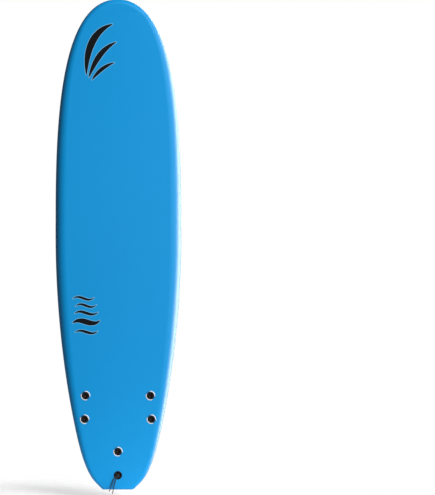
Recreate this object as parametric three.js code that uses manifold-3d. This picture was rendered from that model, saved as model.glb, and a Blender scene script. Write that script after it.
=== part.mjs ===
// A 7'0" soft-top surfboard, standing nose up. Millimetres.
// +Z points to the nose, the deck faces -Y, the flat of the bottom faces +Y.
// The origin is on the bottom surface, on the centre line, halfway along the board.

import * as THREE from 'three';
import { mergeVertices } from 'three/addons/utils/BufferGeometryUtils.js';
import Module from 'manifold-3d';

const wasm = await Module();
wasm.setup();

// ---- Driving dimensions -------------------------------------------------

const LENGTH = 2134;
const MAX_HALF_WIDTH = 275.5;
const MAX_THICKNESS = 84.5;
const WIDE_POINT_Z = 120;
const TAIL_HALF_WIDTH = 68;

// Bezier handles of the outline, as (z, half width): the nose, the hip and the tail curve.
const NOSE_ROUNDNESS = 260;
const NOSE_HANDLE = 382;
const HIP = { startHandle: 97, endHandle: [-365, 285], end: [-820, 184.5] };
const TAIL_CURVE = { startHandle: [-1018, 140.7], endHandle: [-1033, 102] };
const NOSE_SPACING = 1.5; // power that draws the nose's points towards the tip

const NOSE = { flatStartZ: 67, rocker: 123, rockerPower: 2.3, thickness: 33, thinPower: 2.4 };
const TAIL = { flatStartZ: -135, rocker: 57, rockerPower: 2, thickness: 31, thinPower: 1.75 };

const RAIL_APEX = 0.3; // height of the widest point, as a share of the thickness
const RAIL_ROLL = 0.62; // width of the rounded deck edge, as a share of the thickness
const WIDEST_ROLL = 0.75; // and never more than this share of the half width
const RAIL_POWERS = { tuck: 0.8, side: 0.9, shoulder: 0.95 }; // how far each curve is from a true ellipse
const BOTTOM_EDGE = 4; // radius of the tucked bottom edge
const INNER_EDGE = 2; // the same edge on the inner surfaces
const WIDEST_EDGE = 0.3; // and never more than this share of the half width
const INNER_ROLL = 0.6; // how much an inner surface's roll shrinks for each millimetre of inset
const LEAST_RAIL = 1; // least height of the widest line above the section's foot
const DECK_CROWN = 2.5;
const CROWN_SHARE = 0.2; // and never more than this share of the rail's height above its apex
const END_ROLL = 20; // length over which the deck rounds down to the nose tip
const TAIL_ROLL = 14;

const GAP = 0.3;
const PLATE_SEAT = GAP + 0.1; // the base plates stand this far off the bottom, which curves away under them
const SEAT = 0.8; // clearance under a flange, because the crowned deck rises beside its centre
const SKIN = 5;
const SLICK = 1.6;
const SLICK_INSET = 4.6;
const LEAST_BLANK = 7; // the blank ends where the board is thinner than this inside
const LEAST_OUTLINE = { halfWidth: 2.5, step: 1 }; // where an inset outline starts and stops

const SECTION_STEPS = { tuck: 2, shoulder: 5, innerTuck: 1, innerShoulder: 3 };
const DECK_POINTS = [0.6, 0.2]; // places across the crown, as shares of its half width
const OUTLINE_STEPS = { nose: 19, hip: 9, tail: 8 };

const STRINGER_X = 70;
const STRINGER_WIDTH = 5;

const CUP = { flange: 16.5, proud: 3.5, sleeve: 11, recess: 8.2, recessDepth: 8, depth: 11 };
const FLANGE_EDGE = { drop: 1, width: 1.5, dish: 0.6 }; // the bevelled rim and dished face of a cup's flange
const RING = { inner: 16.9, outer: 20.8, height: 2.2, bevel: 1 };
const LEASH_CUP = { flange: 18.2, proud: 2.2, sleeve: 16.5, recess: 13.2, recessDepth: 15, depth: 18 };
const BAR = { radius: 2.5, halfLength: 15.6, height: 1 };
const BAR_TURN = 45; // angle of the leash bar across the deck, about Y
const BOLT = { shank: 3, head: 5.6, headHeight: 4.4, hexFlat: 2.6, hexDepth: 2.6 };
const BOLT_CLEARANCE = 0.4;
const BOLT_TIP = { toBottom: 8, room: 0.5 };
const STRING = { radius: 2, loop: 6, sideStep: 2.3, sides: 8, steps: 26, startTurn: 3.5, startSide: 0.15 };

const PLATE = { length: 150, width: 31, thickness: 2.4, rearCorner: 5 };
const BOX = { front: 62, rear: -68, width: 26, depth: 14, tower: 8, intoPlate: 1 };
const BOLT_FRONT_Z = 48;
const BOLT_REAR_Z = -55;
const BLADE_FRONT_Z = 40;
const BLADE = { thickness: 6.4, depth: 113.5, tipThickness: 2, topLayer: 0.995 };
// The blade's outline as Bezier handles in (back, out), measured from the front of its foot.
const BLADE_LEAD = [[0, 0], [20, 58], [84, 114], [125, BLADE.depth]];
const BLADE_TIP = [[125, BLADE.depth], [139, 113], [152, 105], [157, 96]];
const BLADE_BACK = [[157, 96], [128, 76], [104, 50], [102, 24]];
const BLADE_FOOT = [[102, 24], [101.5, 14], [104, 6], [108, 0]];
const BLADE_STEPS = { lead: 40, rear: 12 };
const FOIL = { edge: 0.12, power: 0.8, fullness: 0.75, taper: 1.6, layers: 11, chordSteps: 5 };
const TAB = { length: 20, width: 6, depth: 10.5, rise: 2, centres: [23, -26] };
const GRUB = { radius: 2.5, length: 7, x: 8.4, socket: 1.25, socketDepth: 2, proud: 1 };

const CENTRE_FIN_Z = -949;
const SIDE_FIN = { z: -705, x: 143.5, toe: 2.2, cant: 4 };

// Flats round each turned part, and the distance within which two vertices are one.
const SIDES = { tower: 14, head: 14, shank: 12, grub: 10, hex: 6, cup: 20, leashCup: 24, bar: 14 };
const WELD = 1e-4;

// ---- Small helpers ------------------------------------------------------

const deg = THREE.MathUtils.degToRad;

function material(color, roughness, metalness = 0) {
  return new THREE.MeshStandardMaterial({ color, roughness, metalness });
}

const FOAM = material(0x1f98dc, 0.62);
const WHITE_FOAM = material(0xf2f1ec, 0.85);
const WOOD = material(0xc79f68, 0.7);
const SLICK_PLASTIC = material(0xf4f5f5, 0.25);
const BLACK_PLASTIC = material(0x131315, 0.4);
const WHITE_PLASTIC = material(0xe9eef2, 0.3);
const STEEL = material(0x9a938c, 0.3, 1);
const CORD = material(0x17191f, 0.8);

// A solid for cutting and joining, made from a closed geometry put through a matrix.
function solid(geometry, matrix = new THREE.Matrix4()) {
  const bare = geometry.index ? geometry.toNonIndexed() : geometry.clone();
  bare.deleteAttribute('normal');
  bare.deleteAttribute('uv');
  bare.applyMatrix4(matrix);
  const merged = mergeVertices(bare, WELD);
  const vertProperties = Float32Array.from(merged.attributes.position.array);
  const triVerts = Uint32Array.from(merged.index.array);
  return new wasm.Manifold(new wasm.Mesh({ numProp: 3, vertProperties, triVerts }));
}

function toGeometry(body) {
  const mesh = body.getMesh();
  const geometry = new THREE.BufferGeometry();
  geometry.setAttribute('position', new THREE.BufferAttribute(mesh.vertProperties.slice(), 3));
  geometry.setIndex(new THREE.BufferAttribute(mesh.triVerts.slice(), 1));
  geometry.computeVertexNormals();
  return geometry;
}

function joined(bodies) {
  return bodies.reduce((whole, next) => whole.add(next));
}

function cutAll(body, cutters) {
  return cutters.reduce((left, cutter) => left.subtract(cutter), body);
}

function named(name, geometry, look, parent) {
  const mesh = new THREE.Mesh(geometry, look);
  mesh.name = name;
  parent.add(mesh);
  return mesh;
}

function boxSolid(x0, x1, y0, y1, z0, z1) {
  const geometry = new THREE.BoxGeometry(x1 - x0, y1 - y0, z1 - z0);
  geometry.translate((x0 + x1) / 2, (y0 + y1) / 2, (z0 + z1) / 2);
  return solid(geometry);
}

// A cylinder along Y between two heights, in the frame of the unit it belongs to.
function pinAlongY(radius, y0, y1, x, z, sides) {
  const geometry = new THREE.CylinderGeometry(radius, radius, y1 - y0, sides);
  geometry.translate(x, (y0 + y1) / 2, z);
  return solid(geometry);
}

// ---- The hull -----------------------------------------------------------

function share(z, end, flatStartZ) {
  return Math.min(1, Math.max(0, (z - flatStartZ) / (end - flatStartZ)));
}

// How far the bottom has curved up towards the deck at a station.
function rocker(z) {
  if (z > NOSE.flatStartZ) {
    return NOSE.rocker * share(z, LENGTH / 2, NOSE.flatStartZ) ** NOSE.rockerPower;
  }
  return TAIL.rocker * share(z, -LENGTH / 2, TAIL.flatStartZ) ** TAIL.rockerPower;
}

function thickness(z) {
  if (z > NOSE.flatStartZ) {
    const u = share(z, LENGTH / 2, NOSE.flatStartZ);
    return MAX_THICKNESS - (MAX_THICKNESS - NOSE.thickness) * u ** NOSE.thinPower;
  }
  const u = share(z, -LENGTH / 2, TAIL.flatStartZ);
  return MAX_THICKNESS - (MAX_THICKNESS - TAIL.thickness) * u ** TAIL.thinPower;
}

// A quarter round: 0 at the end itself, 1 once past the rounded stretch.
function rounded(distance, length) {
  const q = Math.min(1, Math.max(0, distance / length));
  return Math.sqrt(q * (2 - q));
}

// Heights above the bottom surface of the deck and of the rail's widest line.
function levels(z) {
  const full = thickness(z);
  const fromNose = LENGTH / 2 - z;
  const fromTail = z + LENGTH / 2;
  const deckRound = rounded(fromNose, END_ROLL) * rounded(fromTail + TAIL_ROLL / 4, TAIL_ROLL);
  const bottomRound = rounded(fromNose, BOTTOM_EDGE);
  const apex = RAIL_APEX * full;
  return {
    bottom: apex * (1 - bottomRound),
    apex,
    deck: apex + (1 - RAIL_APEX) * full * deckRound,
  };
}

// The outline from the nose tip to the tail corner, as points of (z, half width).
function outline() {
  const v = (z, half) => new THREE.Vector2(z, half);
  const tip = v(LENGTH / 2, 0);
  const widest = v(WIDE_POINT_Z, MAX_HALF_WIDTH);
  const hipEnd = v(...HIP.end);
  const corner = v(-LENGTH / 2, TAIL_HALF_WIDTH);
  const noseHandle = v(WIDE_POINT_Z + NOSE_HANDLE, MAX_HALF_WIDTH);
  const hipHandle = v(WIDE_POINT_Z - HIP.startHandle, MAX_HALF_WIDTH);
  const nose = new THREE.CubicBezierCurve(tip, v(LENGTH / 2, NOSE_ROUNDNESS), noseHandle, widest);
  const hip = new THREE.CubicBezierCurve(widest, hipHandle, v(...HIP.endHandle), hipEnd);
  const tailHandles = [v(...TAIL_CURVE.startHandle), v(...TAIL_CURVE.endHandle)];
  const tail = new THREE.CubicBezierCurve(hipEnd, ...tailHandles, corner);
  const points = [];
  for (let i = 1; i <= OUTLINE_STEPS.nose; i++) {
    points.push(nose.getPoint((i / OUTLINE_STEPS.nose) ** NOSE_SPACING));
  }
  points.push(...hip.getPoints(OUTLINE_STEPS.hip).slice(1));
  points.push(...tail.getPoints(OUTLINE_STEPS.tail).slice(1));
  return points;
}

// The outline moved inwards along its own normal, with the tail end moved in too.
function insetOutline(inset) {
  const points = outline();
  if (inset === 0) {
    return points;
  }
  const moved = points.map((p, i) => {
    const before = points[Math.max(0, i - 1)];
    const after = points[Math.min(points.length - 1, i + 1)];
    const along = new THREE.Vector2().subVectors(after, before).normalize();
    return new THREE.Vector2(p.x + along.y * -inset, p.y + along.x * inset);
  });
  const tailZ = -LENGTH / 2 + inset;
  const kept = moved.filter((p) => p.y > LEAST_OUTLINE.halfWidth && p.x > tailZ + LEAST_OUTLINE.step);
  const last = kept[kept.length - 1];
  const slope = (last.y - kept[kept.length - 2].y) / (last.x - kept[kept.length - 2].x);
  kept.push(new THREE.Vector2(tailZ, last.y + slope * (tailZ - last.x)));
  return kept;
}

// Joins sections of equal point count into one closed solid.
function loft(sections) {
  const count = sections[0].length;
  const positions = sections.flat().flatMap((p) => [p.x, p.y, p.z]);
  const index = [];
  for (let s = 0; s < sections.length - 1; s++) {
    for (let i = 0; i < count; i++) {
      const a = s * count + i;
      const b = s * count + ((i + 1) % count);
      index.push(a, b, a + count, b, b + count, a + count);
    }
  }
  const end = (sections.length - 1) * count;
  for (let i = 1; i < count - 1; i++) {
    index.push(0, i + 1, i);
    index.push(end, end + i, end + i + 1);
  }
  const geometry = new THREE.BufferGeometry();
  geometry.setAttribute('position', new THREE.Float32BufferAttribute(positions, 3));
  geometry.setIndex(index);
  return geometry;
}

// One cross section of the hull: flat bottom, tucked edge, rounded rail, crowned deck.
// Heights are above the bottom surface; inset pulls the deck and rail surfaces inwards.
function hullSection(z, half, low, inset) {
  const inner = inset > 0;
  const level = levels(z);
  const apex = Math.max(level.apex, low + LEAST_RAIL);
  const deck = level.deck - inset;
  const roll = Math.min(RAIL_ROLL * thickness(z), WIDEST_ROLL * (half + inset)) - inset * INNER_ROLL;
  const edge = Math.min(inner ? INNER_EDGE : BOTTOM_EDGE, WIDEST_EDGE * half);
  const right = [];
  const lowSteps = inner ? SECTION_STEPS.innerTuck : SECTION_STEPS.tuck;
  for (let i = 0; i <= lowSteps; i++) {
    const turn = (i / lowSteps) * (Math.PI / 2);
    const x = half - edge + edge * Math.sin(turn);
    right.push([x, low + (apex - low) * (1 - Math.cos(turn) ** RAIL_POWERS.tuck)]);
  }
  const crown = Math.min(DECK_CROWN, (deck - apex) * CROWN_SHARE);
  const shoulder = deck - crown;
  const highSteps = inner ? SECTION_STEPS.innerShoulder : SECTION_STEPS.shoulder;
  for (let i = 1; i <= highSteps; i++) {
    const turn = (i / highSteps) * (Math.PI / 2);
    const x = half - roll + roll * Math.cos(turn) ** RAIL_POWERS.side;
    right.push([x, apex + (shoulder - apex) * Math.sin(turn) ** RAIL_POWERS.shoulder]);
  }
  for (const across of DECK_POINTS) {
    const x = (half - roll) * across;
    right.push([x, shoulder + crown * (1 - across ** 2)]);
  }
  const left = right.slice().reverse().map(([x, h]) => [-x, h]);
  const base = rocker(z);
  return [...right, ...left].map(([x, h]) => new THREE.Vector3(x, -(base + h), z));
}

function hull(inset, bottomHeight) {
  const stations = insetOutline(inset).filter((p) => {
    const inside = levels(p.x).deck - inset - bottomHeight;
    return inset === 0 || inside > LEAST_BLANK;
  });
  return solid(loft(stations.map((p) => {
    const low = Math.max(bottomHeight, levels(p.x).bottom);
    return hullSection(p.x, p.y, low, inset);
  })));
}

// A plate that follows the bottom surface between two heights above it.
function bottomPlate(inset, low, high) {
  const stations = insetOutline(inset);
  return solid(loft(stations.map((p) => {
    const base = rocker(p.x);
    const corners = [[p.y, low], [p.y, high], [-p.y, high], [-p.y, low]];
    return corners.map(([x, h]) => new THREE.Vector3(x, -(base + h), p.x));
  })));
}

// ---- Fin units ----------------------------------------------------------
// Each unit's own frame has its origin on the bottom surface under the plate's middle,
// +Y out of the board and +Z to the front of the fin.

function bottomSlope(z) {
  const step = 1;
  return Math.atan((rocker(z - step) - rocker(z + step)) / (2 * step));
}

const finUnits = [
  { name: 'left', x: -SIDE_FIN.x, z: SIDE_FIN.z, toe: -SIDE_FIN.toe, cant: SIDE_FIN.cant, grubs: [1, 1] },
  { name: 'right', x: SIDE_FIN.x, z: SIDE_FIN.z, toe: SIDE_FIN.toe, cant: -SIDE_FIN.cant, grubs: [-1, -1] },
  { name: 'center', x: 0, z: CENTRE_FIN_Z, toe: 0, cant: 0, grubs: [1, -1] },
];

function unitMatrix(unit) {
  const turn = new THREE.Matrix4().makeRotationY(deg(-unit.toe));
  const place = new THREE.Matrix4().makeTranslation(unit.x, -rocker(unit.z), unit.z);
  return place.multiply(turn);
}

function tiltMatrix(unit) {
  return new THREE.Matrix4().makeRotationX(-bottomSlope(unit.z));
}

// Height of the deck over the point of a unit's frame where a bolt stands.
function boltSpot(unit, boltZ) {
  const p = new THREE.Vector3(0, 0, boltZ).applyMatrix4(unitMatrix(unit));
  const half = outlineHalfWidth(p.z);
  const across = Math.abs(p.x) / (half - RAIL_ROLL * thickness(p.z));
  const crown = DECK_CROWN * (1 - Math.min(1, across) ** 2);
  const deckY = -(rocker(p.z) + levels(p.z).deck - DECK_CROWN + crown);
  return { x: p.x, z: p.z, deckY, bottomY: -rocker(p.z) };
}

function outlineHalfWidth(z) {
  const points = outline();
  const i = points.findIndex((p) => p.x < z);
  const before = points[i - 1];
  const after = points[i];
  return before.y + ((after.y - before.y) * (before.x - z)) / (before.x - after.x);
}

// A plate outline with a round front and small rear corners.
function plateShape(length, width, corner) {
  const half = width / 2;
  const front = length / 2 - half;
  const rear = -length / 2;
  const shape = new THREE.Shape();
  shape.moveTo(half, front);
  shape.absarc(0, front, half, 0, Math.PI, false);
  shape.lineTo(-half, rear + corner);
  shape.quadraticCurveTo(-half, rear, -half + corner, rear);
  shape.lineTo(half - corner, rear);
  shape.quadraticCurveTo(half, rear, half, rear + corner);
  return shape;
}

// Extrudes a shape drawn in (x, z) along +Y from a height.
function plateSolid(shape, y0, height) {
  const geometry = new THREE.ExtrudeGeometry(shape, { depth: height, bevelEnabled: false, curveSegments: 5 });
  geometry.rotateX(Math.PI / 2);
  geometry.scale(1, -1, 1);
  geometry.translate(0, y0, 0);
  const index = [];
  for (let i = 0; i < geometry.attributes.position.count; i += 3) {
    index.push(i, i + 2, i + 1);
  }
  geometry.setIndex(index);
  return solid(geometry);
}

// The box's body below the base plate, up to a height over the bottom surface.
function boxBlock(unit, grow, height) {
  const half = BOX.width / 2 + grow;
  const block = boxSolid(-half, half, -BOX.depth - grow, height, BOX.rear - grow, BOX.front + grow);
  return block.transform(matrixArray(tiltMatrix(unit)));
}

function unitBody(unit, grow) {
  const towers = unitBolts(unit).map((bolt) => {
    const radius = BOX.tower + grow;
    return pinAlongY(radius, bolt.towerY - grow, bolt.bottomY - BOX.depth / 2, bolt.x, bolt.z, SIDES.tower);
  });
  return joined([boxBlock(unit, grow, BOX.intoPlate), ...towers]);
}

function matrixArray(matrix) {
  return matrix.elements.slice();
}

// The two bolts of a unit, in the unit's frame.
function unitBolts(unit) {
  const toUnit = unitMatrix(unit).invert();
  return [BOLT_FRONT_Z, BOLT_REAR_Z].map((boltZ) => {
    const spot = boltSpot(unit, boltZ);
    const cup = unit.name === 'center' && boltZ === BOLT_REAR_Z ? LEASH_CUP : CUP;
    const deck = new THREE.Vector3(spot.x, spot.deckY, spot.z).applyMatrix4(toUnit);
    const bottom = new THREE.Vector3(spot.x, spot.bottomY, spot.z).applyMatrix4(toUnit);
    return {
      cup,
      world: spot,
      x: deck.x,
      z: deck.z,
      deckY: deck.y,
      bottomY: bottom.y,
      towerY: deck.y + cup.depth + GAP,
      headY: deck.y + cup.recessDepth - GAP,
      tipY: bottom.y - BOLT_TIP.toBottom,
    };
  });
}

function tabSolid(z, grow) {
  const x = TAB.width / 2 + grow;
  const z0 = z - TAB.length / 2 - grow;
  const z1 = z0 + TAB.length + 2 * grow;
  return boxSolid(-x, x, -TAB.depth - grow, PLATE.thickness + TAB.rise + grow, z0, z1);
}

function finBox(unit) {
  const tilt = matrixArray(tiltMatrix(unit));
  const shape = plateShape(PLATE.length, PLATE.width, PLATE.rearCorner);
  const plate = plateSolid(shape, PLATE_SEAT, PLATE.thickness);
  const cutters = TAB.centres.map((z) => tabSolid(z, GAP).transform(tilt));
  TAB.centres.forEach((z, i) => {
    const x = unit.grubs[i] * GRUB.x;
    const hole = pinAlongY(GRUB.radius + GAP, GRUB.proud - GRUB.length, GRUB.length, x, z, SIDES.grub);
    cutters.push(hole.transform(tilt));
  });
  unitBolts(unit).forEach((bolt) => {
    const top = bolt.towerY - BOLT.headHeight;
    const end = bolt.tipY + GAP + BOLT_TIP.room;
    cutters.push(pinAlongY(BOLT.shank + GAP, top, end, bolt.x, bolt.z, SIDES.shank));
  });
  return cutAll(unitBody(unit, 0).add(plate.transform(tilt)), cutters);
}

function grubScrew() {
  const body = pinAlongY(GRUB.radius, -GRUB.length / 2, GRUB.length / 2, 0, 0, SIDES.grub);
  const socket = pinAlongY(GRUB.socket, GRUB.length / 2 - GRUB.socketDepth, GRUB.length, 0, 0, SIDES.hex);
  return body.subtract(socket);
}

// The fin's outline in (back, out): leading edge, tip and trailing edge.
function bladeEdges() {
  const trace = (handles, steps) => {
    const points = handles.map(([back, out]) => new THREE.Vector2(back, out));
    return new THREE.CubicBezierCurve(...points).getPoints(steps);
  };
  const rear = [BLADE_TIP, BLADE_BACK, BLADE_FOOT].flatMap((handles) => trace(handles, BLADE_STEPS.rear));
  return { lead: trace(BLADE_LEAD, BLADE_STEPS.lead), rear: rear.reverse() };
}

function backAt(points, out) {
  const i = Math.max(1, points.findIndex((p) => p.y >= out));
  const a = points[i - 1];
  const b = points[i];
  return a.x + ((b.x - a.x) * (out - a.y)) / Math.max(WELD, b.y - a.y);
}

function bladeSolid() {
  const edges = bladeEdges();
  const sections = [];
  for (let i = 0; i <= FOIL.layers; i++) {
    const out = BLADE.depth * BLADE.topLayer * Math.sin((i / FOIL.layers) * (Math.PI / 2));
    const front = backAt(edges.lead, out);
    const rear = backAt(edges.rear, out);
    const rise = 1 - (out / BLADE.depth) ** FOIL.taper;
    const thin = BLADE.tipThickness + (BLADE.thickness - BLADE.tipThickness) * rise;
    const side = [];
    for (let k = 0; k <= FOIL.chordSteps; k++) {
      const s = (1 - Math.cos((k / FOIL.chordSteps) * Math.PI)) / 2;
      const foil = FOIL.edge + (1 - FOIL.edge) * Math.sin(Math.PI * s ** FOIL.fullness) ** FOIL.power;
      side.push([front + (rear - front) * s, (thin / 2) * Math.min(1, foil)]);
    }
    const round = [...side, ...side.slice().reverse().map(([s, x]) => [s, -x])];
    sections.push(round.map(([s, x]) => new THREE.Vector3(x, out, -s)));
  }
  return solid(loft(sections));
}

function finBlade(unit) {
  const lift = PLATE_SEAT + PLATE.thickness + GAP;
  const cant = new THREE.Matrix4().makeRotationZ(deg(unit.cant));
  const place = new THREE.Matrix4().makeTranslation(0, lift, BLADE_FRONT_Z).multiply(cant);
  const foil = bladeSolid().transform(matrixArray(place));
  const reach = PLATE.length;
  const clear = boxSolid(-reach, reach, -reach, lift, -reach, reach);
  const tabs = TAB.centres.map((z) => tabSolid(z, 0));
  return joined([foil.subtract(clear), ...tabs]);
}

// ---- Deck hardware ------------------------------------------------------
// Turned pieces are drawn as (radius, height out of the deck), closing on themselves.

function turned(profile, segments) {
  const points = [...profile, profile[0]].map(([r, h]) => new THREE.Vector2(r, h));
  const geometry = new THREE.LatheGeometry(points, segments);
  geometry.rotateX(Math.PI);
  return geometry;
}

function cupProfile(cup) {
  const hole = BOLT.shank + BOLT_CLEARANCE;
  return [
    [hole, -cup.depth],
    [cup.sleeve, -cup.depth],
    [cup.sleeve, SEAT],
    [cup.flange, SEAT],
    [cup.flange, cup.proud - FLANGE_EDGE.drop],
    [cup.flange - FLANGE_EDGE.width, cup.proud],
    [cup.recess, cup.proud - FLANGE_EDGE.dish],
    [cup.recess, -cup.recessDepth],
    [hole, -cup.recessDepth],
  ];
}

function ringProfile() {
  return [
    [RING.inner, SEAT],
    [RING.outer, SEAT],
    [RING.outer - RING.bevel, RING.height],
    [RING.inner, RING.height],
  ];
}

function boltSolid(length) {
  const head = pinAlongY(BOLT.head, -BOLT.headHeight, 0, 0, 0, SIDES.head);
  const shank = pinAlongY(BOLT.shank, -BOLT.headHeight / 2, length, 0, 0, SIDES.shank);
  const floor = BOLT.hexDepth - BOLT.headHeight;
  const socket = pinAlongY(BOLT.hexFlat, -2 * BOLT.headHeight, floor, 0, 0, SIDES.hex);
  return head.add(shank).subtract(socket);
}

// ---- Leash string -------------------------------------------------------
// Its frame is the leash cup's: X right, Y into the deck, Z to the nose.
// Each strand is half of one cord that loops round the bar; both tails hang off the tail.

function loopPoint(turn, side) {
  const away = new THREE.Vector3(-1, 0, -1).normalize();
  const bar = new THREE.Vector3(1, 0, -1).normalize();
  const out = new THREE.Vector3(0, -1, 0);
  return new THREE.Vector3()
    .addScaledVector(away, -STRING.loop * Math.cos(turn))
    .addScaledVector(out, STRING.loop * Math.sin(turn) + BAR.height)
    .addScaledVector(bar, side);
}

function strandPoints(sign, tail) {
  const start = deg(STRING.startTurn);
  const quarter = [0, 0.25, 0.5, 0.75, 1].map((along) => {
    const turn = start + along * (Math.PI / 2 - start);
    const side = STRING.startSide + (1 - STRING.startSide) * along;
    return loopPoint(sign * turn, sign * STRING.sideStep * side);
  });
  return [...quarter, ...tail.map(([x, y, z]) => new THREE.Vector3(x, y, z))];
}

const overTail = [
  [-1.5, -7.0, -5.9],
  [-5.6, -7.4, -11.8],
  [-9.3, -8.2, -19.5],
  [-12.3, -9.4, -29],
  [-14.6, -10.6, -39],
  [-16.8, -11.2, -50],
  [-19.4, -10.8, -61],
  [-22.0, -9.6, -71],
  [-24.2, -7.8, -81.5],
];

const underTail = [
  [-4.5, 4.3, -1.1],
  [-7.0, 1.2, -3.6],
  [-8.8, -2.4, -5.3],
  [-11.0, -5.2, -7.4],
  [-14.0, -6.6, -10.1],
  [-17.6, -7.6, -15.6],
  [-21.4, -8.8, -24],
  [-25.0, -9.9, -34],
  [-28.6, -10.4, -44.5],
  [-32.6, -10.0, -56],
  [-37.8, -8.2, -71],
];

function strandGeometry(points) {
  const route = new THREE.CatmullRomCurve3(points, false, 'centripetal');
  const corners = [];
  for (let i = 0; i < STRING.sides; i++) {
    const turn = ((i + 0.5) / STRING.sides) * 2 * Math.PI;
    corners.push(new THREE.Vector2(STRING.radius * Math.cos(turn), STRING.radius * Math.sin(turn)));
  }
  const section = new THREE.Shape(corners);
  return new THREE.ExtrudeGeometry(section, { steps: STRING.steps, extrudePath: route, bevelEnabled: false });
}

// ---- Assembly -----------------------------------------------------------

const board = new THREE.Group();

const bodyCutters = [];
const cupCutters = [];
const plateCutters = [];

for (const unit of finUnits) {
  const matrix = matrixArray(unitMatrix(unit));
  bodyCutters.push(unitBody(unit, GAP).transform(matrix));
  for (const bolt of unitBolts(unit)) {
    const { x, z, deckY } = bolt.world;
    const floor = deckY + bolt.cup.depth + GAP;
    cupCutters.push(pinAlongY(bolt.cup.sleeve + GAP, deckY - bolt.cup.depth, floor, x, z, SIDES.cup));
  }
  plateCutters.push(boxBlock(unit, GAP, BOX.depth).transform(matrix));
}

const skinPocket = bottomPlate(SLICK_INSET - GAP, -SKIN, SLICK + GAP);
const skinHollow = hull(SKIN, SLICK);
const skin = cutAll(hull(0, 0), [skinHollow, skinPocket, ...cupCutters]);
named('deck_skin', toGeometry(skin), FOAM, board);

const slick = cutAll(bottomPlate(SLICK_INSET, 0, SLICK), plateCutters);
named('bottom_slick', toGeometry(slick), SLICK_PLASTIC, board);

const blank = cutAll(hull(SKIN + GAP, SLICK + GAP), [...bodyCutters, ...cupCutters]);
const nearSide = STRINGER_X - STRINGER_WIDTH / 2;
const farSide = STRINGER_X + STRINGER_WIDTH / 2;
const far = LENGTH;

function slice(x0, x1) {
  return toGeometry(blank.intersect(boxSolid(x0, x1, -far, far, -far, far)));
}

named('core_left', slice(-far, -farSide - GAP), WHITE_FOAM, board);
named('stringer_left', slice(-farSide, -nearSide), WOOD, board);
named('core_center', slice(-nearSide + GAP, nearSide - GAP), WHITE_FOAM, board);
named('stringer_right', slice(nearSide, farSide), WOOD, board);
named('core_right', slice(farSide + GAP, far), WHITE_FOAM, board);

for (const unit of finUnits) {
  const group = new THREE.Group();
  group.applyMatrix4(unitMatrix(unit));
  board.add(group);
  named(`fin_box_${unit.name}`, toGeometry(finBox(unit)), BLACK_PLASTIC, group);

  const tilted = new THREE.Group();
  tilted.rotation.x = -bottomSlope(unit.z);
  group.add(tilted);
  named(`fin_${unit.name}`, toGeometry(finBlade(unit)), BLACK_PLASTIC, tilted);
  const places = ['front', 'rear'];
  TAB.centres.forEach((z, i) => {
    const grub = named(`grub_screw_${unit.name}_${places[i]}`, toGeometry(grubScrew()), STEEL, tilted);
    grub.position.set(unit.grubs[i] * GRUB.x, GRUB.proud + GAP, z);
  });

  unitBolts(unit).forEach((bolt, i) => {
    const label = `${unit.name}_${places[i]}`;
    const plug = new THREE.Group();
    plug.position.set(bolt.world.x, bolt.world.deckY, bolt.world.z);
    board.add(plug);
    const screw = named(`fin_bolt_${label}`, toGeometry(boltSolid(bolt.tipY - bolt.headY)), STEEL, plug);
    screw.position.y = bolt.cup.recessDepth - GAP;
    if (bolt.cup === LEASH_CUP) {
      addLeashPlug(plug);
    } else {
      named(`deck_plug_${label}`, turned(cupProfile(CUP), SIDES.cup), BLACK_PLASTIC, plug);
      named(`plug_ring_${label}`, turned(ringProfile(), SIDES.cup), WHITE_PLASTIC, plug);
    }
  });
}

function barGeometry(radius, halfLength) {
  const geometry = new THREE.CylinderGeometry(radius, radius, 2 * halfLength, SIDES.bar);
  geometry.rotateZ(Math.PI / 2);
  geometry.rotateY(deg(BAR_TURN));
  geometry.translate(0, -BAR.height, 0);
  return geometry;
}

function addLeashPlug(plug) {
  const cup = solid(turned(cupProfile(LEASH_CUP), SIDES.leashCup));
  const pinHole = solid(barGeometry(BAR.radius + GAP, BAR.halfLength + GAP));
  named('leash_cup', toGeometry(cup.subtract(pinHole)), BLACK_PLASTIC, plug);
  named('leash_bar', barGeometry(BAR.radius, BAR.halfLength), BLACK_PLASTIC, plug);
  named('leash_string_right', strandGeometry(strandPoints(1, overTail)), CORD, plug);
  named('leash_string_left', strandGeometry(strandPoints(-1, underTail)), CORD, plug);
}

export default board;
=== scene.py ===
import math

import bmesh
import bpy
import numpy as np
from mathutils import Matrix, Vector


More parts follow.
